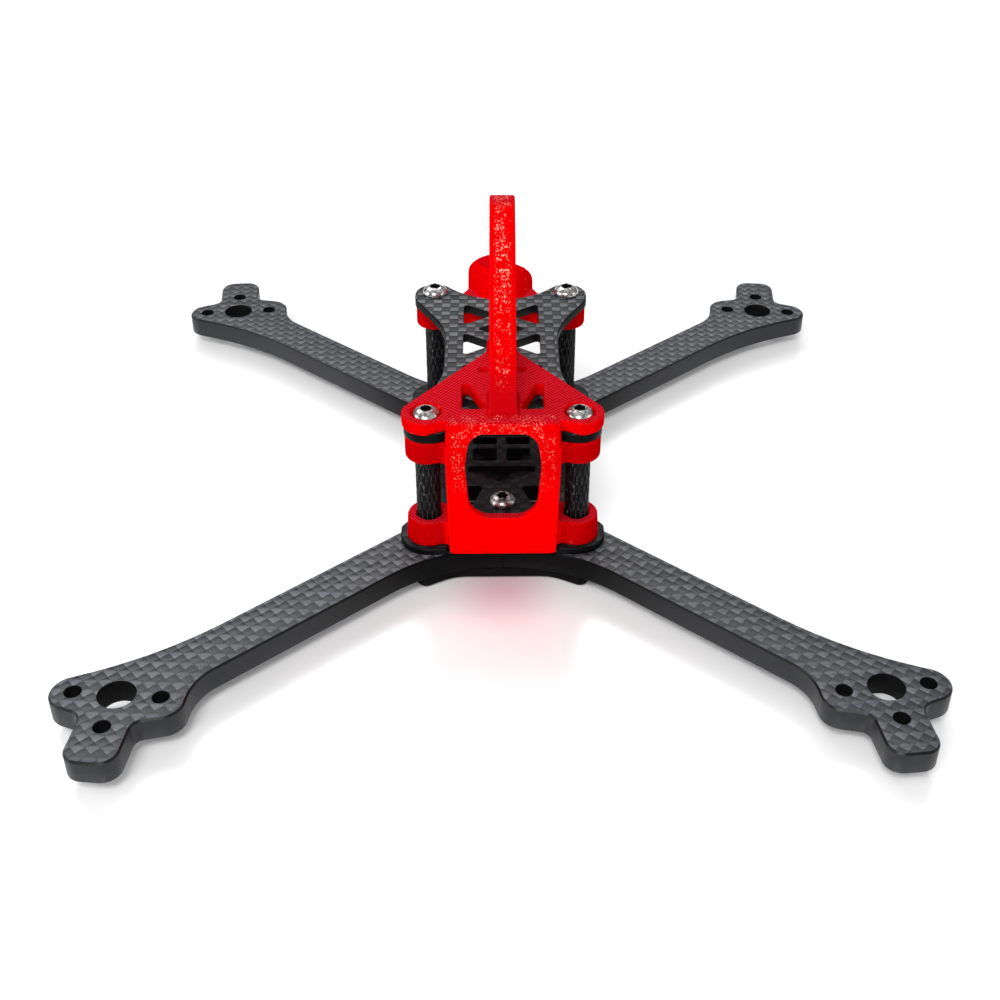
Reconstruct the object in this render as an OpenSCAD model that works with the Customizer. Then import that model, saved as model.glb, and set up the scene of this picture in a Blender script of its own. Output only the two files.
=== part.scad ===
// Five-inch racing quadcopter airframe: four carbon arms clamped between a bottom and a
// middle plate, four knurled standoffs, a trussed top plate, a printed camera cage with a
// self-righting fin and a printed rear antenna mount.
// The origin is the centre of the frame on the underside of the bottom plate. The nose is at -Y.

/* [Arms] */
// Distance between the left and right motor centres
motor_span_x = 138.6; // [120:0.2:160]
// Distance between the front and rear motor centres
motor_span_y = 144.8; // [125:0.2:165]
// Thickness of an arm
arm_t = 5; // [4:0.5:6]
// Width of an arm between its root and its motor mount
arm_w = 10.2; // [8:0.2:12]
// Diameter of the circle that the motor screws lie on
motor_pcd = 16; // [15:0.5:19]
// Diameter of the hole under the motor shaft
shaft_hole_d = 7; // [5:0.5:8]

/* [Plates] */
// Thickness of the bottom plate
bottom_t = 2; // [1.5:0.5:3]
// Thickness of the middle plate
middle_t = 1.5; // [1.5:0.5:2]
// Thickness of the top plate
top_t = 2; // [1.5:0.5:2.5]
// Distance between the left and right standoffs
post_span_x = 30; // [29:0.5:31]
// Distance between the front and rear standoffs
post_span_y = 55; // [54:0.5:56]
// Side of the square on which the flight stack is fastened
stack_span = 30.5; // [30.5]

/* [Standoffs] */
// Length of a standoff
post_h = 25; // [22:1:28]
// Outer diameter of a standoff
post_d = 5; // [4.5:0.5:5]

/* [Camera cage] */
// Height of the deck that lies on the top plate
deck_t = 2.8; // [2.4:0.2:3.4]
// Width of the self-righting fin at its tip
fin_w = 5; // [4:0.5:6.5]
// Height of the fin above the deck
fin_h = 35; // [28:0.2:38]

/* [Antenna mount] */
// Outer diameter of the antenna tube
tube_d = 15.2; // [13:0.2:16]
// Lean of the antenna tube from upright, in degrees
tube_lean = 58; // [50:1:62]

/* [Hidden] */
$fn = 64;

m3_hole_d = 3.2;
m3_shank_d = 2.9;
m3_thread_d = 3;
slack = 0.1;           // play between a bored part and the round part in it
eps = 0.01;            // overshoot of a cut past the face it opens
carbon = "#4a4c52";
tpu = "#e0101c";
steel = "#c9c9c9";
black = "#202022";

// Heights of the stack of parts, from the underside of the bottom plate
arm_z = bottom_t;
middle_z = arm_z + arm_t;
post_z = middle_z + middle_t;
top_z = post_z + post_h;
deck_z = top_z + top_t;
deck_top = deck_z + deck_t;

post_x = post_span_x / 2;
post_y = post_span_y / 2;
motor_x = motor_span_x / 2;
motor_y = motor_span_y / 2;
stack_r = stack_span / 2;

// ---- Outlines ------------------------------------------------------------------------

function unit(v) = v / norm(v);
function turned(v, a) = [v[0] * cos(a) - v[1] * sin(a), v[0] * sin(a) + v[1] * cos(a)];
function cross2(a, b) = a[0] * b[1] - a[1] * b[0];

// Where the line through p along d meets the line through q along e
function meet(p, d, q, e) = p + d * cross2(q - p, e) / cross2(d, e);

// One corner of an outline: v is [x, y, radius], a and b are the corners beside it
function corner(a, v, b) =
    let (p = [v[0], v[1]],
         u = unit([a[0], a[1]] - p),
         w = unit([b[0], b[1]] - p),
         half = acos(u * w) / 2,
         centre = p + unit(u + w) * v[2] / sin(half),
         start = p + u * v[2] / tan(half) - centre,
         sweep = -sign(cross2(u, w)) * (180 - 2 * half),
         steps = ceil(abs(sweep) / (v[2] < 2 ? 18 : v[2] < 10 ? 7.5 : 3)))
    v[2] == 0 ? [p] : [for (i = [0 : steps]) centre + turned(start, sweep * i / steps)];

// Closed outline through [x, y, radius] corners
function rounded(v) = [for (i = [0 : len(v) - 1])
    each corner(v[(i + len(v) - 1) % len(v)], v[i], v[(i + 1) % len(v)])];

function flipped(v, sx, sy) = [for (i = [len(v) - 1 : -1 : 0]) [v[i][0] * sx, v[i][1] * sy, v[i][2]]];

// Four mirrored copies of the corners from the end of a plate to its side
function four_way(v) = concat(v, flipped(v, 1, -1), flipped(flipped(v, 1, 1), -1, -1), flipped(v, -1, 1));

// Left and right copies of the corners of a half outline that starts and ends near x = 0
function two_way(v) = concat(v, flipped(v, -1, 1));

module mirrored_x() {
    children();
    mirror([1, 0, 0]) children();
}

module mirrored_y() {
    children();
    mirror([0, 1, 0]) children();
}

module front_posts() {
    for (x = [-post_x, post_x]) translate([x, -post_y, 0]) children();
}

module rear_posts() {
    for (x = [-post_x, post_x]) translate([x, post_y, 0]) children();
}

// A cutting cylinder that overshoots both faces it opens
module bore(d, z0, z1) {
    translate([0, 0, z0 - eps]) cylinder(d = d, h = z1 - z0 + 2 * eps);
}

module plate(outline, z, t) {
    translate([0, 0, z]) linear_extrude(t) polygon(rounded(outline));
}

module window(outline, z, t) {
    translate([0, 0, z - eps]) linear_extrude(t + 2 * eps) polygon(rounded(outline));
}

// Holes of the flight stack and of the four standoffs, through every plate below it
module stack_holes(z, t) {
    for (x = [-stack_r, stack_r], y = [-stack_r, stack_r])
        translate([x, y, 0]) bore(m3_hole_d, z, z + t);
    front_posts() bore(m3_hole_d, z, z + t);
    rear_posts() bore(m3_hole_d, z, z + t);
}

// ---- Arms ----------------------------------------------------------------------------

// Turn of the motor mount against the axes of the frame, in degrees
mount_turn = -5.8;
motor_r = motor_pcd / 2;
hub = [motor_x, motor_y];
arm_root = [0, 13];
arm_dir = unit(hub + [0, 1] - arm_root);
arm_side = turned(arm_dir, -90) * arm_w / 2;
body_x = 18;           // half width of the body between the front and rear arms
body_end = 31.2;       // half length of the body at its centre line
root_inner = 12;       // inner end of an arm
seam = 0.06;           // half the gap between two arms that meet
clamp_y = 16.7;        // clamp screw, in the seam between two arms

// A point of the motor mount: u runs outward along it and v towards its bumper
function mount(u, v, r = 0) = let (p = hub + turned([u, v], mount_turn)) [p[0], p[1], r];
function at(p, r) = [p[0], p[1], r];

lobe_in = [9.84, -3.88];         // where the side edge meets the outer lobe
lobe_dir = turned([1, 0], 25.4 + mount_turn);
side_line = arm_root + arm_side;
end_line = arm_root - arm_side;
lobe_in_p = hub + turned(lobe_in, mount_turn);
inner_lobe_u = -12.6;
inner_lobe_p = hub + turned([inner_lobe_u, 0], mount_turn);

// Outline of the arm in the quadrant where x and y are positive
arm_outline = [
    [seam, root_inner, 0],
    [body_x, root_inner, 3],
    at(meet(side_line, arm_dir, [body_x, 0], [0, 1]), 5),
    at(meet(side_line, arm_dir, lobe_in_p, lobe_dir), 76),
    mount(12.3, -2.71, 4.25),
    mount(12.3, 3.24, 4.25),
    mount(4.9, 5.36, 2.6),
    mount(4.9, 16.6, 3.3),
    mount(-4.9, 16.6, 3.3),
    mount(-4.9, 6.5, 2.2),
    mount(inner_lobe_u, 4.1, 4.2),
    at(meet(inner_lobe_p, turned([0, 1], mount_turn), end_line, arm_dir), 11),
    at(meet(end_line, arm_dir, [0, body_end], [1, 0]), 33),
    [seam, body_end, 0]
];

// Lightening notch under the slanted windows of the middle plate
root_notch = [[4.2, root_inner - 2, 0], [9.5, root_inner - 2, 0], [9.5, 17.6, 1.2], [6.9, 17.6, 1]];

module arm() {
    color(carbon) difference() {
        plate(arm_outline, arm_z, arm_t);
        window(root_notch, arm_z, arm_t);
        translate([motor_x, motor_y, 0]) rotate([0, 0, mount_turn]) {
            bore(shaft_hole_d, arm_z, middle_z);
            for (p = [[motor_r, 0], [-motor_r, 0], [0, motor_r]])
                translate([p[0], p[1], 0]) bore(m3_hole_d, arm_z, middle_z);
        }
        translate([0, clamp_y, 0]) bore(m3_hole_d, arm_z, middle_z);
        translate([post_x, post_y, 0]) bore(m3_hole_d, arm_z, middle_z);
        translate([stack_r, stack_r, 0]) bore(m3_hole_d, arm_z, middle_z);
    }
}

module front_left_arm() { mirror([1, 0, 0]) mirror([0, 1, 0]) arm(); }
module front_right_arm() { mirror([0, 1, 0]) arm(); }
module rear_left_arm() { mirror([1, 0, 0]) arm(); }
module rear_right_arm() { arm(); }

// ---- Plates --------------------------------------------------------------------------

top_ear = 4.5;
nut_flange_d = 6;
nut_flange_t = 0.7;
nut_body_d = 4.2;

// Corners of a plate quadrant, from its end to its side
base_corner = [[9.9, body_end, 10], [16.2, 34.6, 1.6], [22.2, 27.7, 3], [body_x, 17.5, 5]];
middle_corner = [[11.2, body_end, 0.8], [11.2, 33, 0.4], [21, 33, 5.8], [21, 24.8, 1.5], [body_x, 20.5, 3]];

module bottom_plate() {
    strap_slot = [[-11, 4.5, 1.4], [11, 4.5, 1.4], [11, 7.5, 1.4], [-11, 7.5, 1.4]];
    countersink_d = 6.2;
    color(carbon) difference() {
        plate(four_way(base_corner), 0, bottom_t);
        stack_holes(0, bottom_t);
        mirrored_y() {
            window(strap_slot, 0, bottom_t);
            translate([0, clamp_y, 0]) {
                bore(nut_body_d + slack, 0, bottom_t);
                bore(nut_flange_d + 2 * slack, -eps, nut_flange_t + slack);
            }
            mirrored_x() translate([post_x, post_y, -eps])
                cylinder(d1 = countersink_d, d2 = m3_hole_d, h = (countersink_d - m3_hole_d) / 2);
        }
    }
}

module middle_plate() {
    cell_w = 5.4;          // one opening of the grid of openings
    cell_h = 5;
    spine_w = 2.1;
    first_cell_y = -1;
    cell_pitch = 6.7;
    v_rear = -3.1;
    v_window = [[7.5, v_rear, 0.7], [7.5, -5.2, 0.7], [0, -9.6, 3], [-7.5, -5.2, 0.7], [-7.5, v_rear, 0.7]];
    slanted = [[3.9, 10.7, 0.8], [8.6, 10.7, 0.8], [8.6, 17.6, 0.8], [6.4, 17.6, 0.8]];
    color(carbon) difference() {
        plate(four_way(middle_corner), middle_z, middle_t);
        stack_holes(middle_z, middle_t);
        window(v_window, middle_z, middle_t);
        mirrored_x() for (row = [0 : 1]) {
            y0 = first_cell_y + row * cell_pitch;
            x0 = spine_w / 2;
            window([[x0, y0, 0.7], [x0 + cell_w, y0, 0.7], [x0 + cell_w, y0 + cell_h, 0.7],
                    [x0, y0 + cell_h, 0.7]], middle_z, middle_t);
        }
        mirrored_y() {
            mirrored_x() window(slanted, middle_z, middle_t);
            translate([0, clamp_y, 0]) bore(m3_hole_d, middle_z, post_z);
        }
    }
}

truss_x = 8.3;         // outer edge of the truss openings
truss_pitch = 13.35;
truss_y = 17.3;        // rearmost row of openings
truss_tip_x = 1.2;

module top_plate() {
    half_h = 4.9;
    waist_x = 12.15;
    outline = [
        [6, 24.7, 14],
        [post_x - 1.7, post_y + top_ear, 3],
        [post_x + top_ear, post_y + top_ear, top_ear],
        [post_x + top_ear, post_y - 3, 6],
        [waist_x, 11, 22],
        [waist_x, -11, 22],
        [post_x + top_ear, -post_y + 3, 6],
        [post_x + top_ear, -post_y - top_ear, top_ear],
        [post_x - 1.6, -post_y - top_ear, 3],
        [8.6, -30, 4]
    ];
    color(carbon) difference() {
        plate(two_way(outline), top_z, top_t);
        for (row = [0 : 3]) {
            y = truss_y - row * truss_pitch;
            mirrored_x() window([[truss_tip_x, y, 0.5], [truss_x, y + half_h, 0.7],
                                 [truss_x, y - half_h, 0.7]], top_z, top_t);
        }
        for (row = [0 : 2]) {
            y = truss_y - (row + 0.5) * truss_pitch;
            window([[-5.4, y, 0.6], [0, y + 3.5, 0.6], [5.4, y, 0.6], [0, y - 3.5, 0.6]], top_z, top_t);
        }
        front_posts() bore(m3_hole_d, top_z, deck_z);
        rear_posts() bore(m3_hole_d, top_z, deck_z);
    }
}

// ---- Standoffs -----------------------------------------------------------------------

thread_depth = 10;

module standoff() {
    edge = 0.3;
    r = post_d / 2;
    color(black) difference() {
        translate([0, 0, post_z]) rotate_extrude()
            polygon([[0, 0], [r - edge, 0], [r, edge], [r, post_h - edge], [r - edge, post_h], [0, post_h]]);
        bore(m3_thread_d, post_z, post_z + thread_depth);
        bore(m3_thread_d, top_z - thread_depth, top_z);
    }
}

module front_left_standoff() { translate([-post_x, -post_y, 0]) standoff(); }
module front_right_standoff() { translate([post_x, -post_y, 0]) standoff(); }
module rear_left_standoff() { translate([-post_x, post_y, 0]) standoff(); }
module rear_right_standoff() { translate([post_x, post_y, 0]) standoff(); }

// ---- Camera cage ---------------------------------------------------------------------

face_y = -33.75;       // front of the face
face_t = 2;
face_back = face_y + face_t;
face_z = middle_z + 0.8;
face_foot_w = 21.6;    // width of the face at its foot
face_w = 22.6;
collar_r = 4.35;       // printed collar around a standoff
foot_r = 4.65;         // the same at the foot of the standoff
foot_h = 5.5;
lug_h = 5;
deck_ear = 4.9;        // radius of the deck's ear around a front post
ear_x = 10.8;          // where the front of the ear meets the back of the face
head_recess = 1.2;     // depth of a screw head in the deck
recess_d = 6;          // its diameter
wall_out = 11.2;       // outer side of the wall beside the camera
wall_t = 1.5;
wall_back = -21;
fin_lean = 33.4;       // lean of the fin's front edge from upright, in degrees
fin_foot_y = -30.65;
fin_tip_r = 4.5;
deck_apex_y = -0.8;
brow_r = 4;            // rounding between the face and the deck

// Front view of the face, as x and height
module face_shape() {
    half = face_w / 2;
    foot = face_foot_w / 2;
    polygon(rounded([[-foot, face_z, 0.8], [foot, face_z, 0.8], [half, post_z + 20, 20],
                     [half, deck_top, 0], [-half, deck_top, 0], [-half, post_z + 20, 20]]));
}

// Front view of the opening in front of the camera lens
module lens_opening() {
    sill = middle_z + 9.8;
    lintel = middle_z + 29.2;
    polygon(rounded([[-6.6, sill, 4.6], [6.6, sill, 4.6], [7.5, middle_z + 22, 12],
                     [6.5, lintel, 3], [-6.5, lintel, 3], [-7.5, middle_z + 22, 12]]));
}

// Turns an outline in x and height into a wall that fills y0 to y1
module upright(y0, y1) {
    translate([0, y1, 0]) rotate([90, 0, 0]) linear_extrude(y1 - y0) children();
}

// Turns an outline in y and height into a slab of width w about the centre line
module sideways(w) {
    translate([-w / 2, 0, 0]) rotate([90, 0, 90]) linear_extrude(w) children();
}

// Deck over the top plate, which runs from the face past the front posts to the fin's heel
module cage_deck() {
    outline = two_way([
        [ear_x, face_y, 0],
        [ear_x, face_back + 0.95, 0.3],
        [post_x - 1.1, -post_y - deck_ear, 4],
        [post_x + deck_ear + 0.4, -post_y - deck_ear, deck_ear],
        [post_x + deck_ear - 0.2, -post_y + 1.6, 3.6],
        [0.8, deck_apex_y, 1.2]
    ]);
    translate([0, 0, deck_z]) linear_extrude(deck_t) polygon(rounded(outline));
}

// Cut that rounds the face over into the deck and runs out towards the ears
module brow_cut() {
    centre = [face_y + brow_r, deck_top - brow_r];
    reach = 11.6;
    intersection() {
        difference() {
            translate([-reach, face_y - 1, centre[1]]) cube([2 * reach, brow_r + 1, brow_r + 1]);
            translate([-reach - 1, centre[0], centre[1]]) rotate([0, 90, 0])
                cylinder(r = brow_r, h = 2 * reach + 2);
        }
        translate([0, 0, centre[1] - 1]) linear_extrude(brow_r + 3)
            polygon([[-reach, face_y - 2], [reach, face_y - 2], [reach, face_y + 1],
                     [reach - 5, centre[0] + 1], [5 - reach, centre[0] + 1], [-reach, face_y + 1]]);
    }
}

// Collar on a standoff, with a web that ties it to the face
module cage_collar(z, h, foot) {
    web = [[-5.4, face_back + post_y - 0.3, 0], [-2.6, -3.85, 1.5], [-1, -3.85, 0], [-1, 0, 0], [-5.4, 0, 0]];
    translate([0, 0, z]) {
        cylinder(r1 = foot, r2 = collar_r, h = h);
        linear_extrude(h) polygon(rounded(web));
    }
}

module cage_wall() {
    z1 = top_z - slack;
    corner_r = 7;
    camera_screw_d = 2.2;
    camera_screw = [-25.5, middle_z + 16.5];       // y and height of the screw in the camera's side
    difference() {
        translate([wall_out - wall_t, face_back - eps, post_z])
            cube([wall_t, wall_back - face_back, z1 - post_z]);
        translate([wall_out - wall_t - eps, camera_screw[0], camera_screw[1]]) rotate([0, 90, 0])
            cylinder(d = camera_screw_d, h = wall_t + 2 * eps);
        // the wall gets lower towards its back
        translate([wall_out - wall_t - 1, wall_back, z1]) rotate([0, 90, 0])
            cylinder(r = corner_r, h = wall_t + 2);
    }
}

// Side view of the fin: a leaning front leg, a rounded tip and an upright heel leg
module fin_shape() {
    leg = 5.2;
    heel_leg = 4.4;
    lean = [sin(fin_lean), cos(fin_lean)];
    upward = [0, 1];
    up_front = (fin_h - fin_tip_r * (1 - lean[0])) / lean[1];
    heel_y = fin_foot_y + up_front * lean[0] + fin_tip_r * (lean[1] + 1);
    toe = [fin_foot_y, deck_top] - lean * deck_t / lean[1];
    heel = [heel_y, deck_z];
    apex = meet(toe, lean, heel, upward);
    inner_toe = [fin_foot_y + leg / lean[1], deck_top];
    inner_heel = [heel_y - heel_leg, deck_top];
    inner_apex = meet(inner_toe, lean, inner_heel, upward);
    difference() {
        polygon(rounded([[toe[0], toe[1], 0], [apex[0], apex[1], fin_tip_r], [heel[0], heel[1], 0]]));
        polygon(rounded([[inner_toe[0], inner_toe[1], 2.5], [inner_apex[0], inner_apex[1], 1.6],
                         [inner_heel[0], inner_heel[1], 1.8]]));
    }
}

// The fin tapers a little towards its tip and spreads where it meets the deck
module cage_fin() {
    shin_w = 5.4;
    foot_w = 6.4;
    flare_h = 1.6;
    tip_z = deck_top + fin_h;
    intersection() {
        sideways(foot_w) fin_shape();
        upright(face_y, 5)
            polygon([[-foot_w / 2, deck_z], [foot_w / 2, deck_z], [foot_w / 2, deck_top],
                     [shin_w / 2, deck_top + flare_h], [fin_w / 2, tip_z], [-fin_w / 2, tip_z],
                     [-shin_w / 2, deck_top + flare_h], [-foot_w / 2, deck_top]]);
    }
}

module camera_cage() {
    deck_window = [[3.7, -26.6, 0.3], [8.1, -26.6, 0.6], [8.1, -17.4, 0.7], [6.8, -17.4, 0.8], [3.7, -25.2, 1]];
    deck_hole_d = 1.8;
    deck_hole = [3.9, -11.6];
    color(tpu) difference() {
        union() {
            upright(face_y, face_back) face_shape();
            cage_deck();
            mirrored_x() {
                cage_wall();
                translate([post_x, -post_y, 0]) {
                    cage_collar(post_z, foot_h, foot_r);
                    cage_collar(top_z - slack - lug_h, lug_h, collar_r);
                }
            }
            cage_fin();
        }
        upright(face_y - 1, face_back + eps) lens_opening();
        brow_cut();
        front_posts() {
            bore(post_d + 2 * slack, post_z, top_z);
            bore(m3_hole_d, top_z, deck_top);
            bore(recess_d, deck_top - head_recess, deck_top);
        }
        mirrored_x() {
            window(deck_window, deck_z, deck_t);
            translate([deck_hole[0], deck_hole[1], 0]) bore(deck_hole_d, deck_z, deck_top);
        }
    }
}

// ---- Antenna mount -------------------------------------------------------------------

mount_h = 5.2;
mount_z = top_z - slack - mount_h;
sma_d = 6.5;
tube_end = [39.8, middle_z + 26];      // centre of the tube's short end, as y and height
tube_step = 2.3;       // how much farther the left half of the tube reaches
tube_floor = middle_z + 18.5;

// Frame whose z axis is the axis of the tube, with its origin at the short end
module on_tube() {
    translate([0, tube_end[0], tube_end[1]]) rotate([-tube_lean, 0, 0]) children();
}

module mount_web() {
    outline = two_way([
        [6, 22.4, 3],
        [post_x, post_y - collar_r, 2],
        [post_x, post_y + 2.4, 1],
        [9.4, 30.4, 1.5],
        [7, 35, 1.5]
    ]);
    translate([0, 0, mount_z]) linear_extrude(mount_h) polygon(rounded(outline));
}

module antenna_mount() {
    tube_l = 20;
    nut_d = 11;
    end_wall = 3;
    color(tpu) difference() {
        union() {
            mount_web();
            rear_posts() translate([0, 0, mount_z]) cylinder(r = collar_r, h = mount_h);
            intersection() {
                on_tube() {
                    translate([0, 0, -tube_l]) cylinder(d = tube_d, h = tube_l);
                    intersection() {
                        cylinder(d = tube_d, h = tube_step);
                        translate([-tube_d, -tube_d, 0]) cube([tube_d, 2 * tube_d, tube_step]);
                    }
                }
                translate([-tube_d, 22.6, tube_floor]) cube([2 * tube_d, 40, 40]);
            }
        }
        rear_posts() bore(post_d + 2 * slack, mount_z, top_z);
        on_tube() bore(sma_d, -end_wall, tube_step);
        on_tube() bore(nut_d, -3 * tube_l, -end_wall);
    }
}

// ---- Fasteners -----------------------------------------------------------------------

head_d = 5.6;
head_h = 1.9;
socket_depth = 1.1;

// Button-head screw pointing down from the seat of its head
module button_screw(z, length, socket_sides, socket_d) {
    crown_r = head_h * 0.95;
    difference() {
        union() {
            translate([0, 0, z]) rotate_extrude() polygon(concat(
                [[0, 0], [head_d / 2, 0], [head_d / 2, 0.25]],
                [for (a = [10 : 10 : 60]) [head_d / 2 - crown_r * (1 - cos(a)) * 1.5,
                                           0.25 + (head_h - 0.25) * sin(a) / sin(60)]],
                [[0, head_h]]));
            translate([0, 0, z - length]) cylinder(d = m3_shank_d, h = length);
        }
        translate([0, 0, z + head_h - socket_depth])
            cylinder(d = socket_d, h = socket_depth + eps, $fn = socket_sides);
    }
}

// Countersunk screw pointing up from the flat of its head
module flat_screw(z, length) {
    flat_d = 5.6;
    flat_h = (flat_d - m3_shank_d) / 2;
    difference() {
        union() {
            translate([0, 0, z]) cylinder(d1 = flat_d, d2 = m3_shank_d, h = flat_h);
            translate([0, 0, z + flat_h - eps]) cylinder(d = m3_shank_d, h = length - flat_h);
        }
        translate([0, 0, z - eps]) cylinder(d = 2.3, h = socket_depth, $fn = 6);
    }
}

module front_deck_screws() {
    color(steel) front_posts() button_screw(deck_top - head_recess, 10, 6, 2.4);
}

module rear_deck_screws() {
    color(steel) rear_posts() button_screw(deck_z, 8, 6, 2.4);
}

module front_base_screws() {
    color(black) front_posts() flat_screw(0.1, 14);
}

module rear_base_screws() {
    color(black) rear_posts() flat_screw(0.1, 14);
}

// Button-head screw through the middle plate, the seam of two arms and the bottom plate
module clamp_screw() {
    button_screw(post_z, 8, 6, 2.2);
}

module front_clamp_screw() { color(steel) translate([0, -clamp_y, 0]) clamp_screw(); }
module rear_clamp_screw() { color(steel) translate([0, clamp_y, 0]) clamp_screw(); }

// Press nut let into the underside of the bottom plate
module clamp_nut() {
    difference() {
        union() {
            cylinder(d = nut_flange_d, h = nut_flange_t);
            cylinder(d = nut_body_d, h = bottom_t - slack);
        }
        bore(m3_thread_d, 0, bottom_t);
    }
}

module front_clamp_nut() { color(steel) translate([0, -clamp_y, 0]) clamp_nut(); }
module rear_clamp_nut() { color(steel) translate([0, clamp_y, 0]) clamp_nut(); }

bottom_plate();
front_left_arm();
front_right_arm();
rear_left_arm();
rear_right_arm();
middle_plate();
front_left_standoff();
front_right_standoff();
rear_left_standoff();
rear_right_standoff();
top_plate();
camera_cage();
antenna_mount();
front_deck_screws();
rear_deck_screws();
front_base_screws();
rear_base_screws();
front_clamp_screw();
rear_clamp_screw();
front_clamp_nut();
rear_clamp_nut();
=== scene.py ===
"""A bare quadcopter racing airframe on a white studio floor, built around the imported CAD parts."""

import math
from types import SimpleNamespace

import bmesh
import bpy
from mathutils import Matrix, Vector
from mathutils.geometry import tessellate_polygon


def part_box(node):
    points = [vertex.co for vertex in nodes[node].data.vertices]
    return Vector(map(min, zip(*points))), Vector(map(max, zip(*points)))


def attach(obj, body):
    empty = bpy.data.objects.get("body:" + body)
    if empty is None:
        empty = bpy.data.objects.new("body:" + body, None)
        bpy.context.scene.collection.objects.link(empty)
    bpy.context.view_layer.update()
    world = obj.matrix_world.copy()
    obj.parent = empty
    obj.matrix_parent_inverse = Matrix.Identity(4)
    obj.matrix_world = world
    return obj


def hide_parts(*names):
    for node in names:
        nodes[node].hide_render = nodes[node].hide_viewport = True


MM = 0.001

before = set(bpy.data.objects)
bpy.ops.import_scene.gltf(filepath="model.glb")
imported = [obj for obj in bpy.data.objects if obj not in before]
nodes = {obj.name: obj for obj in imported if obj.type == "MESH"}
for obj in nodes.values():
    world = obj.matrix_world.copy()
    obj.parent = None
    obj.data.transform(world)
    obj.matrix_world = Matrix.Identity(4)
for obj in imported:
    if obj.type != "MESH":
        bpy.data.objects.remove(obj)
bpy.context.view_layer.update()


# ---- Materials -----------------------------------------------------------------------


class Graph:
    """The node tree of a material or world. Inputs take a number, a colour or another node's output."""

    def __init__(self, name, kind=bpy.data.materials):
        self.owner = kind.new(name)
        self.owner.use_nodes = True
        self.tree = self.owner.node_tree
        self.tree.nodes.clear()

    def node(self, kind, inputs=None, **settings):
        made = self.tree.nodes.new("ShaderNode" + kind)
        for key, value in settings.items():
            setattr(made, key, value)
        for key, value in (inputs or {}).items():
            if isinstance(value, bpy.types.NodeSocket):
                self.tree.links.new(value, made.inputs[key])
            else:
                made.inputs[key].default_value = value
        return made

    def math(self, operation, *values):
        return self.node("Math", dict(enumerate(values)), operation=operation).outputs[0]

    def product(self, *values):
        result, *others = values
        for value in others:
            result = self.math("MULTIPLY", result, value)
        return result

    def ramp(self, value, low, high):
        """0 below low, 1 above high, smooth between."""
        inputs = {"Value": value, "From Min": low, "From Max": high}
        return self.node("MapRange", inputs, interpolation_type="SMOOTHSTEP").outputs[0]

    def fall(self, value, low, high):
        """1 below low, 0 above high, smooth between."""
        return self.math("SUBTRACT", 1.0, self.ramp(value, low, high))

    def line(self, value, low, high, first, last):
        """first at low, last at high, straight between."""
        inputs = {"Value": value, "From Min": low, "From Max": high, "To Min": first, "To Max": last}
        return self.node("MapRange", inputs).outputs[0]

    def waves(self, distance, pitch, phase):
        """Waves between -1 and 1 along a distance."""
        return self.math("SINE", self.math("ADD", self.product(distance, 2 * math.pi / pitch), phase))

    def mix(self, factor, a, b):
        return self.node("Mix", {0: factor, 2: a, 3: b}).outputs[0]

    def tint(self, factor, a, b):
        inputs = {0: factor, 6: colour(a), 7: colour(b)}
        return self.node("Mix", inputs, data_type="RGBA").outputs[2]

    def noise(self, vector, scale, detail=2.0):
        return self.node("TexNoise", {"Vector": vector, "Scale": scale, "Detail": detail}).outputs["Fac"]

    def place(self):
        """Position on the object, in millimetres."""
        here = self.node("TexCoord").outputs["Object"]
        inputs = {0: here, "Scale": 1 / MM}
        return self.node("VectorMath", inputs, operation="SCALE").outputs[0]

    def axes(self, vector):
        return self.node("SeparateXYZ", {0: vector}).outputs

    def bump(self, height, strength, distance):
        inputs = {"Height": height, "Strength": strength, "Distance": distance * MM}
        return self.node("Bump", inputs).outputs[0]

    def finish(self, **inputs):
        surface = self.node("BsdfPrincipled", inputs)
        self.node("OutputMaterial", {0: surface.outputs[0]})
        return self.owner


def colour(value):
    return (*value, 1.0) if isinstance(value, tuple) else value


def grey(value):
    """A slightly cool grey."""
    return (value, 1.05 * value, 1.20 * value)


CELL = 1.9                              # width of a tow of the carbon cloth, in mm


def plain_weave(g, place, turn):
    """Cells of a plain weave that is turned by an angle.

    weft_up is 1 where the weft is on top and 0 where the warp is. along and across go from 0
    to 1 over the tow on top, rearward is positive in the rear half of a cell, and luck is a
    different number for each cell."""
    inputs = {"Vector": place, "Rotation": (0, 0, -turn), "Scale": (1 / CELL, 1 / CELL, 1)}
    u, v, _ = g.axes(g.node("Mapping", inputs).outputs[0])
    sway = g.product(g.math("SUBTRACT", g.noise(place, 0.12), 0.5), 0.25)
    u = g.math("ADD", u, sway)
    v = g.math("SUBTRACT", v, sway)
    column = g.math("FLOOR", u)
    row = g.math("FLOOR", v)
    fu = g.math("FRACT", u)
    fv = g.math("FRACT", v)
    weft_up = g.math("FLOORED_MODULO", g.math("ADD", column, row), 2.0)
    rearward = g.math("ADD", g.product(g.math("SUBTRACT", fu, 0.5), math.sin(turn)),
                      g.product(g.math("SUBTRACT", fv, 0.5), math.cos(turn)))
    cell = g.node("CombineXYZ", {0: column, 1: row}).outputs[0]
    luck = g.node("TexWhiteNoise", {"Vector": cell}, noise_dimensions="2D").outputs["Value"]
    return SimpleNamespace(weft_up=weft_up, along=g.mix(weft_up, fu, fv), across=g.mix(weft_up, fv, fu),
                           rearward=rearward, luck=luck)


def weave_height(g, weave):
    """Height of the cloth, 0 in its gaps and 1 on the crowns of its tows."""
    crown = g.math("SINE", g.product(weave.along, math.pi))
    rib = g.math("SINE", g.product(weave.across, math.pi))
    return g.product(g.math("POWER", crown, 0.6), g.math("POWER", rib, 0.35))


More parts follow.
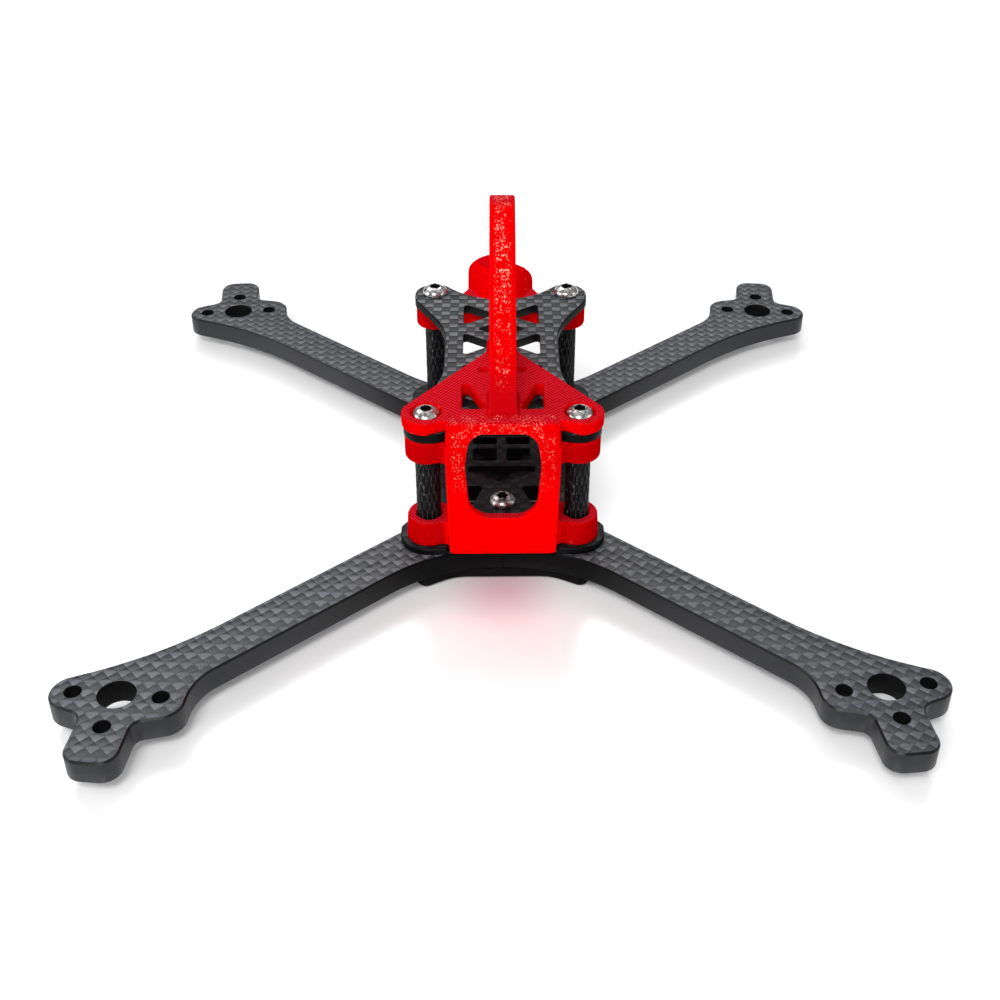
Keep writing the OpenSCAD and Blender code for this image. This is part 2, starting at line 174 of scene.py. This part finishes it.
def cloth_colour(g, weave, height, warp, weft):
    """A warp tow that comes up looks like a scale, with painted shade at the rear, where it dives under,
    and a painted highlight at the front. The weft is duller, with painted shade towards its rear, and the
    gaps between the tows get painted shade."""
    strand = g.node("CombineXYZ", {0: g.product(weave.across, 16.0), 1: g.product(weave.along, 0.8),
                                   2: weave.luck})
    fibre = g.noise(strand.outputs[0], 1.0, 3.0)
    tows = [g.tint(weave.luck, grey(tone), grey(1.45 * tone)) for tone in (warp, weft)]
    # Painted highlight at the front of each warp scale, painted shade at its rear.
    scale = g.tint(g.ramp(weave.rearward, -0.68, -0.18), grey(2.2 * warp), tows[0])
    scale = g.tint(g.ramp(weave.rearward, 0.0, 0.5), scale, grey(0.2 * warp))
    # Painted shade towards the rear of each weft cell.
    shaded_weft = g.tint(g.ramp(weave.rearward, -0.45, 0.5), tows[1], grey(0.45 * weft))
    cloth = g.tint(weave.weft_up, scale, shaded_weft)
    cloth = g.tint(g.product(fibre, 0.35), cloth, grey(0.3 * warp))
    # Painted shade in the gaps between the tows.
    return g.tint(g.ramp(height, 0.0, 0.25), grey(0.6 * weft), cloth)


def side_colour(g, place, chamfer, outer):
    """Sawn edge of the plies, with painted shade that makes it blacker near the middle of the frame and on
    its chamfers.
    """
    z = g.axes(place)["Z"]
    plies = g.node("CombineXYZ", {0: g.noise(place, 0.4), 2: g.product(z, 9.0)}).outputs[0]
    sawn = g.tint(g.noise(plies, 1.0), grey(0.008), grey(0.024))
    # Painted shade: near-black on the chamfers and towards the middle of the frame.
    return g.tint(chamfer, g.tint(outer, grey(0.003), sawn), grey(0.002))


def carbon(name, turn, warp, weft, gloss, relief=0.12):
    """Plain-woven laminate whose cloth is turned by an angle, with machined sides.

    warp and weft are the brightness of the tows of each direction, whose difference is painted sheen,
    and relief is the height of the weave in mm."""
    g = Graph(name)
    place = g.place()
    weave = plain_weave(g, place, turn)
    height = weave_height(g, weave)
    flatness = g.math("ABSOLUTE", g.axes(g.node("NewGeometry").outputs["Normal"])["Z"])
    level = g.ramp(flatness, 0.93, 0.985)
    chamfer = g.ramp(flatness, 0.15, 0.5)
    # Mask for painted shade: the sawn sides are blacker and less glossy towards the middle of the frame.
    outer = g.ramp(g.math("ABSOLUTE", g.axes(place)["X"]), 15.0, 42.0)
    cloth = cloth_colour(g, weave, height, warp, weft)
    return g.finish(**{
        "Base Color": g.tint(level, side_colour(g, place, chamfer, outer), cloth),
        "Roughness": g.mix(level, g.mix(chamfer, 0.42, 0.35), g.mix(weave.weft_up, 0.32, 0.42)),
        "Specular IOR Level": g.mix(level, g.mix(outer, 0.05, 0.3), gloss),
        "Normal": g.bump(g.product(height, level), 0.8, relief),
    })


LAYER = 0.34                            # height of a layer of the prints, in mm
BEAD = 0.62                             # pitch of the beads along the deck's rear edges, in mm
DASH = 0.85                             # pitch of the dashes across those beads, in mm
DECK_TOP = 38.4                         # a hair above the top of the cage's deck, in mm


def print_lines(g, place, rough, level):
    """Layers on the upright faces, and beads with dashes across them on the level ones."""
    x, y, z = g.axes(place)
    beside_centre = g.math("ABSOLUTE", x)
    from_edge = g.math("ADD", g.product(beside_centre, 0.8), g.product(y, 0.6))
    along_edge = g.math("SUBTRACT", g.product(beside_centre, 0.6), g.product(y, 0.8))
    layers = g.waves(z, LAYER, g.product(rough, 3.0))
    beads = g.waves(from_edge, BEAD, rough)
    dashes = g.waves(along_edge, DASH, g.product(rough, 6.0))
    return layers, g.mix(level, layers, g.math("ADD", g.product(beads, 0.6), g.product(dashes, 0.4)))


def painted_glints(g, place):
    """Mask of painted glints: short pale strokes of painted highlight on the front of the fin, the brow and
    the upper face.
    """
    x, y, z = g.axes(place)
    beside_centre = g.math("ABSOLUTE", x)
    slim = g.node("VectorMath", {0: place, 1: (1.6, 1.6, 0.8)}, operation="MULTIPLY").outputs[0]
    stroke = g.ramp(g.noise(slim, 2.0, 1.0), 0.54, 0.68)
    patch = g.ramp(g.noise(place, 0.5, 1.0), 0.40, 0.58)
    on_fin = g.product(g.fall(beside_centre, 0.9, 1.9), g.ramp(z, 42.0, 50.0))
    on_face = g.product(g.fall(beside_centre, 9.6, 10.6), g.ramp(z, 22.0, 28.0), g.fall(y, -30.5, -28.5),
                        g.fall(z, DECK_TOP, DECK_TOP + 0.6))
    where = g.math("MAXIMUM", on_fin, g.product(on_face, 0.55))
    return g.product(stroke, g.product(patch, where))


def upright_red(g, place, rough, layers, shaded_flank):
    """Red of the upright faces, with painted shade on the collars, at the foot of the fin and on the layer
    lines of faces turned sideways or to the rear, and darker on the upper face.
    """
    x, _, z = g.axes(place)
    collar = g.product(g.ramp(g.math("ABSOLUTE", x), 11.2, 12.2), g.fall(z, 32.5, 34.0))
    fin_foot = g.product(g.fall(z, 41.0, 50.0), g.ramp(z, DECK_TOP - 0.5, DECK_TOP))
    red = g.tint(g.ramp(rough, 0.3, 0.7), (0.90, 0.0, 0.0), (1.0, 0.0, 0.001))
    # Painted shade on the layer lines of faces turned sideways or to the rear.
    red = g.tint(g.product(shaded_flank, g.ramp(layers, -0.4, 0.9)), red, (0.70, 0.0, 0.002))
    # Painted shade: the collars are a darker red.
    red = g.tint(collar, red, g.tint(rough, (0.36, 0.0, 0.001), (0.72, 0.0, 0.002)))
    red = g.tint(g.product(g.ramp(z, 20.0, 30.0), 0.35), red, (0.36, 0.0, 0.002))
    # Painted shade at the foot of the fin, where it meets the deck.
    return g.tint(g.product(fin_foot, 0.65), red, (0.40, 0.002, 0.006))


def printed(name):
    """Red flexible print."""
    g = Graph(name)
    place = g.place()
    rough = g.noise(place, 1.6, 3.0)
    fine = g.noise(place, 4.5, 2.0)
    shape = g.node("NewGeometry").outputs
    normal = g.axes(shape["Normal"])
    level = g.ramp(g.math("ABSOLUTE", normal["Z"]), 0.8, 0.97)
    # Mask of the faces turned sideways or to the rear, whose layer lines get painted shade.
    shaded_flank = g.ramp(g.math("MAXIMUM", g.math("ABSOLUTE", normal["X"]), normal["Y"]), 0.4, 0.8)
    edge = g.ramp(shape["Pointiness"], 0.52, 0.6)
    layers, lines = print_lines(g, place, rough, level)
    glint = painted_glints(g, place)
    # The level faces: bead lines of the print in a darker red, with a pink tint that is painted sheen.
    top = g.tint(g.ramp(lines, -0.6, 0.8), (0.38, 0.002, 0.006), (0.70, 0.014, 0.028))
    body = g.tint(level, upright_red(g, place, rough, layers, shaded_flank), top)
    # Painted highlight: pale red along the convex edges.
    body = g.tint(g.product(edge, 0.3), body, (1.0, 0.07, 0.06))
    relief = g.math("ADD", g.product(lines, 0.45), g.product(fine, 1.6))
    return g.finish(**{
        # Painted highlight: the glint strokes are pale in the base colour, where the print is also
        # glossier.
        "Base Color": g.tint(g.product(glint, 0.7), body, (1.0, 0.36, 0.24)),
        "Roughness": g.mix(glint, 0.5, 0.24),
        "Specular IOR Level": g.product(glint, 0.5),
        "Subsurface Weight": 0.08,
        "Subsurface Radius": (0.0020, 0.0002, 0.0001),
        "Normal": g.bump(relief, g.mix(level, 0.22, 0.45), 0.08),
    })


def anodised(name):
    """Black anodised aluminium with painted highlights: bright slivers on the crests of its knurl."""
    g = Graph(name)
    crest = g.ramp(g.node("NewGeometry").outputs["Pointiness"], 0.507, 0.55)
    speck = g.ramp(g.noise(g.place(), 1.1, 3.0), 0.34, 0.62)
    return g.finish(**{
        # Painted highlight: bright slivers on some crests of the knurl.
        "Base Color": g.tint(g.product(crest, speck), (0.002, 0.002, 0.003), (0.085, 0.09, 0.09)),
        "Roughness": g.mix(speck, 0.3, 0.4),
        "Specular IOR Level": 0.09,
    })


def steel(name, dark, pale, smooth):
    """Turned steel with faint dark and pale blotches."""
    g = Graph(name)
    place = g.place()
    blotch = g.noise(place, 1.3, 4.0)
    scratch = g.noise(place, 6.0, 2.0)
    return g.finish(**{
        "Base Color": g.tint(g.ramp(blotch, 0.35, 0.65), dark, pale),
        "Metallic": 1.0,
        "Roughness": g.mix(scratch, smooth, smooth + 0.15),
        "Normal": g.bump(blotch, 0.35, 0.06),
    })


def recess(name):
    """Unlit inside of a screw's socket or of a hole through a plate."""
    g = Graph(name)
    shade = g.noise(g.place(), 4.0)
    return g.finish(**{
        "Base Color": g.tint(shade, (0.001, 0.001, 0.001), (0.006, 0.005, 0.005)),
        "Roughness": 0.6,
        "Specular IOR Level": 0.2,
    })


# ---- Geometry ------------------------------------------------------------------------


def add_piece(name, bm, materials, node, sharp=25):
    """Turns a mesh into a piece that stands for a CAD node and rides with it."""
    bmesh.ops.recalc_face_normals(bm, faces=bm.faces)
    mesh = bpy.data.meshes.new(name)
    bm.to_mesh(mesh)
    bm.free()
    for material in materials:
        mesh.materials.append(material)
    mesh.polygons.foreach_set("use_smooth", [True] * len(mesh.polygons))
    mesh.set_sharp_from_angle(angle=math.radians(sharp))
    piece = bpy.data.objects.new(name, mesh)
    bpy.context.scene.collection.objects.link(piece)
    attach(piece, "root")
    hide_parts(node)
    return piece


def welded(node):
    bm = bmesh.new()
    bm.from_mesh(nodes[node].data)
    bmesh.ops.remove_doubles(bm, verts=bm.verts, dist=1e-6)
    return bm


def rims(node):
    """Outlines around the flat top of a CAD plate, with the material on their left."""
    bm = welded(node)
    top = max(v.co.z for v in bm.verts)
    flat = {f for f in bm.faces if f.normal.z > 0.99 and min(v.co.z for v in f.verts) > top - 1e-5}
    after = {}
    for face in flat:
        for loop in face.loops:
            if sum(f in flat for f in loop.edge.link_faces) == 1:
                after[loop.vert] = loop.link_loop_next.vert
    outlines = []
    while after:
        start, vert = after.popitem()
        outline = [start.co.xy.copy()]
        while vert is not start:
            outline.append(vert.co.xy.copy())
            vert = after.pop(vert)
        outlines.append(outline)
    bm.free()
    return outlines


def pulled_in(outline, distance):
    """The outline moved towards its material."""
    moved = []
    for before, point, after in zip(outline[-1:] + outline[:-1], outline, outline[1:] + outline[:1]):
        a = (point - before).normalized()
        b = (after - point).normalized()
        na = Vector((-a.y, a.x))
        nb = Vector((-b.y, b.x))
        moved.append(point + (na + nb) * (distance / (1 + max(na.dot(nb), -0.5))))
    return moved


def girth(outline):
    return sum((a - b).length for a, b in zip(outline, outline[1:] + outline[:1]))


WINDOW_GIRTH = 60                       # outlines shorter than this are holes or windows, in mm


def laminate(name, node, chamfer, hole_chamfer, materials):
    """A cut plate with rims machined round, from the outlines of its CAD node.

    chamfer and hole_chamfer are the widths of its outer and inner rims in mm. The walls of
    its holes and windows get the second material."""
    lo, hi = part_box(node)
    bm = bmesh.new()
    caps = ([], [])
    for outline in rims(node):
        hole = girth(outline) < WINDOW_GIRTH * MM
        c = (hole_chamfer if hole else chamfer) * MM
        profile = [(c, 0), (0.88 * c, 0.04 * c), (0.04 * c, 0.88 * c), (0, c)]
        levels = [(d, hi.z - z) for d, z in profile] + [(d, lo.z + z) for d, z in reversed(profile)]
        rings = [[bm.verts.new((*p, z)) for p in pulled_in(outline, d)] for d, z in levels]
        for upper, lower in zip(rings, rings[1:]):
            for i in range(len(upper)):
                j = (i + 1) % len(upper)
                bm.faces.new((upper[i], lower[i], lower[j], upper[j])).material_index = int(hole)
        caps[0].append(rings[0])
        caps[1].append(rings[-1])
    for rings in caps:
        flat = [vert for ring in rings for vert in ring]
        for triangle in tessellate_polygon([[vert.co for vert in ring] for ring in rings]):
            bm.faces.new([flat[i] for i in triangle])
    return add_piece(name, bm, materials, node)


def revolve(bm, centre, profile, sides, shape=None, recessed=()):
    """Rings of (radius, height) around a vertical axis, closed by a flat face at each end.

    shape(index, angle) scales the radius of a ring, for sockets and knurls. The bands
    whose index is in recessed get the second material."""
    rings = []
    for index, (radius, height) in enumerate(profile):
        ring = []
        for k in range(sides):
            angle = 2 * math.pi * k / sides
            r = radius * (shape(index, angle) if shape else 1)
            ring.append(bm.verts.new((centre[0] + r * math.cos(angle), centre[1] + r * math.sin(angle),
                                      centre[2] + height)))
        rings.append(ring)
    for index, (lower, upper) in enumerate(zip(rings, rings[1:])):
        for k in range(sides):
            j = (k + 1) % sides
            face = bm.faces.new((lower[k], lower[j], upper[j], upper[k]))
            face.material_index = int(index in recessed)
    for ring in (rings[0], rings[-1]):
        bm.faces.new(ring)


def knurled_standoff(name, node, material):
    """Standoff with a long lozenge knurl and tapped ends."""
    lo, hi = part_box(node)
    radius = (hi.x - lo.x) / 2
    length = hi.z - lo.z
    lozenges = 15
    lozenge_length = 4.2 * MM
    depth = 0.075
    edge = 0.3 * MM
    bore = 1.5 * MM
    deep = 10 * MM
    steps = 150
    knurl = [(radius, edge + (length - 2 * edge) * k / steps) for k in range(steps + 1)]
    mouth = [(0.02 * MM, deep), (bore, deep), (bore, 0.15 * MM), (bore + 0.15 * MM, 0), (radius - edge, 0)]
    profile = mouth + knurl + [(r, length - z) for r, z in reversed(mouth)]

    def cut(index, angle):
        row = index - len(mouth)
        if not 2 <= row <= steps - 2:
            return 1 if row not in (0, 1, steps - 1, steps) else 1 - depth
        z = knurl[row][1]
        left = math.sin(lozenges * angle / 2 + math.pi * z / lozenge_length)
        right = math.sin(lozenges * angle / 2 - math.pi * z / lozenge_length)
        return 1 - depth * (1 - min(abs(left), abs(right)) ** 0.7)

    bm = bmesh.new()
    revolve(bm, ((lo.x + hi.x) / 2, (lo.y + hi.y) / 2, lo.z), profile, 8 * lozenges, cut)
    return add_piece(name, bm, [material], node, sharp=40)


def hexagon(angle):
    """Radius of a hexagon against its flats, at an angle."""
    return 1 / math.cos((angle + math.pi / 6) % (math.pi / 3) - math.pi / 6)


def six_lobe(angle):
    return 1 + 0.13 * math.cos(6 * angle)


HEAD = 1.9                              # height of a button head, in mm
SHANK = 1.45                            # radius of a screw's shank, in mm
TIP_CONE = 0.35                         # height and width of the cone at its tip, in mm
SCREW_SIDES = 72


def button_screw(bm, x, y, seat, tip, socket, across):
    """Button-head screw. seat is the height under its head and tip the end of its shank."""
    r = 2.8
    rim = 0.3
    steps = [math.pi / 2 * k / 14 for k in range(11)]
    dome = [(r * math.cos(a), rim + (HEAD - rim) * math.sin(a)) for a in steps]
    half = across / 2
    base = (tip - seat) / MM
    under = [(SHANK - TIP_CONE, base), (SHANK, base + TIP_CONE), (SHANK, 0), (r - 0.12, 0), (r, 0.1)]
    pit = [(half + 0.05, HEAD - 0.06), (half, HEAD - 0.2), (half, HEAD - 1.15), (0.1, HEAD - 1.35)]
    profile = under + dome + [(half + 0.22, HEAD)] + pit
    first = len(profile) - len(pit)

    def shape(index, angle):
        return socket(angle) if first <= index < len(profile) - 1 else 1

    inside = range(first, len(profile))
    revolve(bm, (x, y, seat), [(a * MM, b * MM) for a, b in profile], SCREW_SIDES, shape, inside)


def flat_screw(bm, x, y, base, tip):
    """Countersunk screw that points up from its flat head."""
    half = 1.0
    top = (tip - base) / MM
    profile = [(0.1, 1.3), (half, 1.1), (half, 0.15), (half + 0.12, 0), (2.7, 0), (2.8, 0.1),
               (SHANK, 1.42), (SHANK, top - TIP_CONE), (SHANK - TIP_CONE, top)]

    def shape(index, angle):
        return hexagon(angle) if 1 <= index <= 3 else 1

    revolve(bm, (x, y, base), [(a * MM, b * MM) for a, b in profile], SCREW_SIDES, shape, range(3))


def screw_places(node):
    """Centres of the separate screws of a CAD node, which lie side by side along x."""
    lo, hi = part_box(node)
    y = (lo.y + hi.y) / 2
    r = (hi.y - lo.y) / 2
    if hi.x - lo.x > 3 * r:
        return [(lo.x + r, y), (hi.x - r, y)]
    return [((lo.x + hi.x) / 2, y)]


def button_screws(name, node, materials, socket, across):
    lo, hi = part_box(node)
    bm = bmesh.new()
    for x, y in screw_places(node):
        button_screw(bm, x, y, hi.z - HEAD * MM, lo.z, socket, across)
    return add_piece(name, bm, materials, node, sharp=35)


def flat_screws(name, node, materials):
    lo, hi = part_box(node)
    bm = bmesh.new()
    for x, y in screw_places(node):
        flat_screw(bm, x, y, lo.z, hi.z)
    return add_piece(name, bm, materials, node, sharp=35)


def press_nut(name, node, material):
    """Round press nut with a serrated collar."""
    lo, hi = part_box(node)
    teeth = 24
    profile = [(1.5, 1.9), (1.5, 0.25), (1.75, 0), (2.85, 0), (3, 0.12), (3, 0.6), (2.9, 0.7), (2.1, 0.7),
               (2.1, 1.8), (2.0, 1.9), (1.5, 1.9)]

    def shape(index, angle):
        return 1 - 0.02 * (1 + math.cos(teeth * angle)) if 4 <= index <= 5 else 1

    bm = bmesh.new()
    centre = ((lo.x + hi.x) / 2, (lo.y + hi.y) / 2, lo.z)
    revolve(bm, centre, [(a * MM, b * MM) for a, b in profile], 144, shape)
    bmesh.ops.delete(bm, geom=[f for f in bm.faces if len(f.verts) > 4], context="FACES_ONLY")
    bmesh.ops.remove_doubles(bm, verts=bm.verts, dist=1e-7)
    return add_piece(name, bm, [material], node, sharp=35)


def melt(bm, centre, reach, passes):
    """Rounds off what lies within reach of a point, all in mm."""
    near = [v for v in bm.verts if (v.co / MM - Vector(centre)).length < reach]
    for _ in range(passes):
        bmesh.ops.smooth_vert(bm, verts=near, factor=0.5, use_axis_x=True, use_axis_y=True, use_axis_z=True)


VOXEL = 0.28                            # grain of the remeshed prints, in mm


def soft_print(name, node, material, corners=()):
    """A printed part with its edges melted round, and more so at the given corners."""
    mesh = nodes[node].data.copy()
    source = bpy.data.objects.new(name + "_source", mesh)
    bpy.context.scene.collection.objects.link(source)
    remesh = source.modifiers.new("remesh", "REMESH")
    remesh.mode = "VOXEL"
    remesh.voxel_size = VOXEL * MM
    smooth = source.modifiers.new("smooth", "SMOOTH")
    smooth.factor = 0.5
    smooth.iterations = 5
    evaluated = source.evaluated_get(bpy.context.evaluated_depsgraph_get())
    bm = bmesh.new()
    bm.from_mesh(evaluated.to_mesh())
    evaluated.to_mesh_clear()
    bpy.data.objects.remove(source)
    for corner in corners:
        melt(bm, corner, reach=3.6, passes=30)
    return add_piece(name, bm, [material], node, sharp=60)


# ---- The airframe --------------------------------------------------------------------

arm_turn = math.radians(41.1)
# The top plate's warp is painted far brighter than its weft: painted sheen.
cloth_top = carbon("carbon_top", 0, warp=0.090, weft=0.016, gloss=0.28)
# Painted shade: the cloth of the plates below the top one is darkened to near black.
shaded_cloth = carbon("carbon_shaded", 0, warp=0.016, weft=0.008, gloss=0.15, relief=0.06)
# The cloth of the front right and rear left arms is a tenth darker than the other two: painted shade.
shaded_cloth_left = carbon("carbon_left_shaded", -arm_turn, warp=0.082, weft=0.057, gloss=0.33)
cloth_right = carbon("carbon_right", arm_turn, warp=0.092, weft=0.064, gloss=0.33)
red = printed("red_print")
black = anodised("black_anodised")
bright = steel("bright_steel", (0.30, 0.285, 0.27), (0.86, 0.85, 0.83), smooth=0.12)
# A darker, rougher steel for the clamp screws.
dull = steel("dull_steel", (0.18, 0.155, 0.15), (0.75, 0.69, 0.67), smooth=0.22)
dark_steel = steel("dark_steel", (0.02, 0.02, 0.022), (0.05, 0.05, 0.055), smooth=0.35)
hollow = recess("socket_recess")

arms = {"front_left": cloth_right, "rear_right": cloth_right, "front_right": shaded_cloth_left,
        "rear_left": shaded_cloth_left}
for corner, cloth in arms.items():
    laminate("arm_" + corner, corner + "_arm", 0.4, 0.03, [cloth, hollow])
for level, cloth in (("middle", shaded_cloth), ("top", cloth_top)):
    laminate("plate_" + level, level + "_plate", 0.22, 0.05, [cloth, hollow])
# The bottom plate gets the painted-shade cloth too.
nodes["bottom_plate"].data.materials[0] = shaded_cloth

for corner in sorted(arms):
    knurled_standoff("standoff_" + corner, corner + "_standoff", black)

brow_ends = [(side * 11.3, -32.6, 36.8) for side in (-1, 1)]    # in mm
soft_print("cage", "camera_cage", red, brow_ends)
soft_print("antenna_holder", "antenna_mount", red)

for end in ("front", "rear"):
    button_screws("screws_deck_" + end, end + "_deck_screws", [bright, hollow], hexagon, 2.0)
for end in ("front", "rear"):
    button_screws("screw_clamp_" + end, end + "_clamp_screw", [dull, hollow], six_lobe, 2.2)
for end in ("front", "rear"):
    flat_screws("screws_base_" + end, end + "_base_screws", [dark_steel, hollow])
for end in ("front", "rear"):
    press_nut("nut_" + end, end + "_clamp_nut", bright)


# ---- Studio --------------------------------------------------------------------------


def studio_floor():
    """Slightly glossy white table that fades into pure white away from the object.

    It has a faint blush below the nose, where the red face throws its glow."""
    g = Graph("studio_floor")
    ground = g.node("NewGeometry").outputs["Position"]
    away = g.node("VectorMath", {0: ground}, operation="LENGTH").outputs["Value"]
    nose = g.node("VectorMath", {0: ground, 1: (0, -0.034, 0)}, operation="DISTANCE").outputs["Value"]
    blush = g.product(g.fall(nose, 0.0, 0.016), 0.65)
    white = g.tint(blush, (0.95, 0.95, 0.955), (0.72, 0.22, 0.32))
    diffuse = g.node("BsdfDiffuse", {"Color": white})
    gloss = g.node("BsdfGlossy", {"Color": (1, 1, 1, 1), "Roughness": 0.24})
    coated = g.node("MixShader", {0: 0.20, 1: diffuse.outputs[0], 2: gloss.outputs[0]})
    strength = g.line(away, 0.08, 0.40, 0.10, 0.85)
    glow = g.node("Emission", {"Color": (1, 1, 1, 1), "Strength": strength})
    both = g.node("AddShader", {0: coated.outputs[0], 1: glow.outputs[0]})
    g.node("OutputMaterial", {0: both.outputs[0]})
    bm = bmesh.new()
    bmesh.ops.create_grid(bm, x_segments=4, y_segments=4, size=6)
    mesh = bpy.data.meshes.new("studio_floor")
    bm.to_mesh(mesh)
    bm.free()
    mesh.materials.append(g.owner)
    floor = bpy.data.objects.new("studio_floor", mesh)
    floor.location.z = -0.5 * MM
    bpy.context.scene.collection.objects.link(floor)


def softbox(name, place, target, width, height, power):
    light = bpy.data.lights.new(name, "AREA")
    light.shape = "RECTANGLE"
    light.size = width
    light.size_y = height
    light.energy = power
    lamp = bpy.data.objects.new(name, light)
    lamp.location = place
    lamp.rotation_euler = (Vector(target) - Vector(place)).to_track_quat("-Z", "Y").to_euler()
    bpy.context.scene.collection.objects.link(lamp)


def studio_world():
    """Pale surroundings that get brighter towards the top, seen as plain white by the camera."""
    g = Graph("studio_world", bpy.data.worlds)
    height = g.axes(g.node("TexCoord").outputs["Generated"])["Z"]
    strength = g.line(height, 0.0, 0.8, 0.16, 0.50)
    seen = g.node("LightPath").outputs["Is Camera Ray"]
    sky = g.node("Background", {"Color": (1, 1, 1, 1), "Strength": g.mix(seen, strength, 1.0)})
    g.node("OutputWorld", {0: sky.outputs[0]})
    bpy.context.scene.world = g.owner


def studio_light():
    softbox("back_window", (-0.15, 0.65, 0.75), (0, 0, 0), width=1.0, height=0.5, power=3.6)
    softbox("front_key", (-0.14, -0.52, 0.70), (0, 0, 0.02), width=0.35, height=0.28, power=4.2)
    softbox("left_window", (-0.9, -0.1, 0.45), (0, 0, 0.02), width=0.6, height=0.4, power=2.4)
    softbox("right_window", (0.9, -0.1, 0.45), (0, 0, 0.02), width=0.6, height=0.4, power=0.7)
    bpy.context.scene.view_settings.view_transform = "Standard"


def studio_camera():
    """Looks down at the frame from in front of its nose. The angles are in degrees."""
    tilt = 56.633
    roll = -0.840
    heading = -1.696
    data = bpy.data.cameras.new("camera")
    data.sensor_width = 36
    data.lens = 49.857
    data.shift_x = -0.03676
    data.shift_y = -0.05952
    data.clip_start = 0.01
    camera = bpy.data.objects.new("camera", data)
    camera.location = (-0.002301, -0.255897, 0.181790)
    camera.rotation_euler = [math.radians(angle) for angle in (tilt, roll, heading)]
    bpy.context.scene.collection.objects.link(camera)
    bpy.context.scene.camera = camera


studio_floor()
studio_world()
studio_light()
studio_camera()
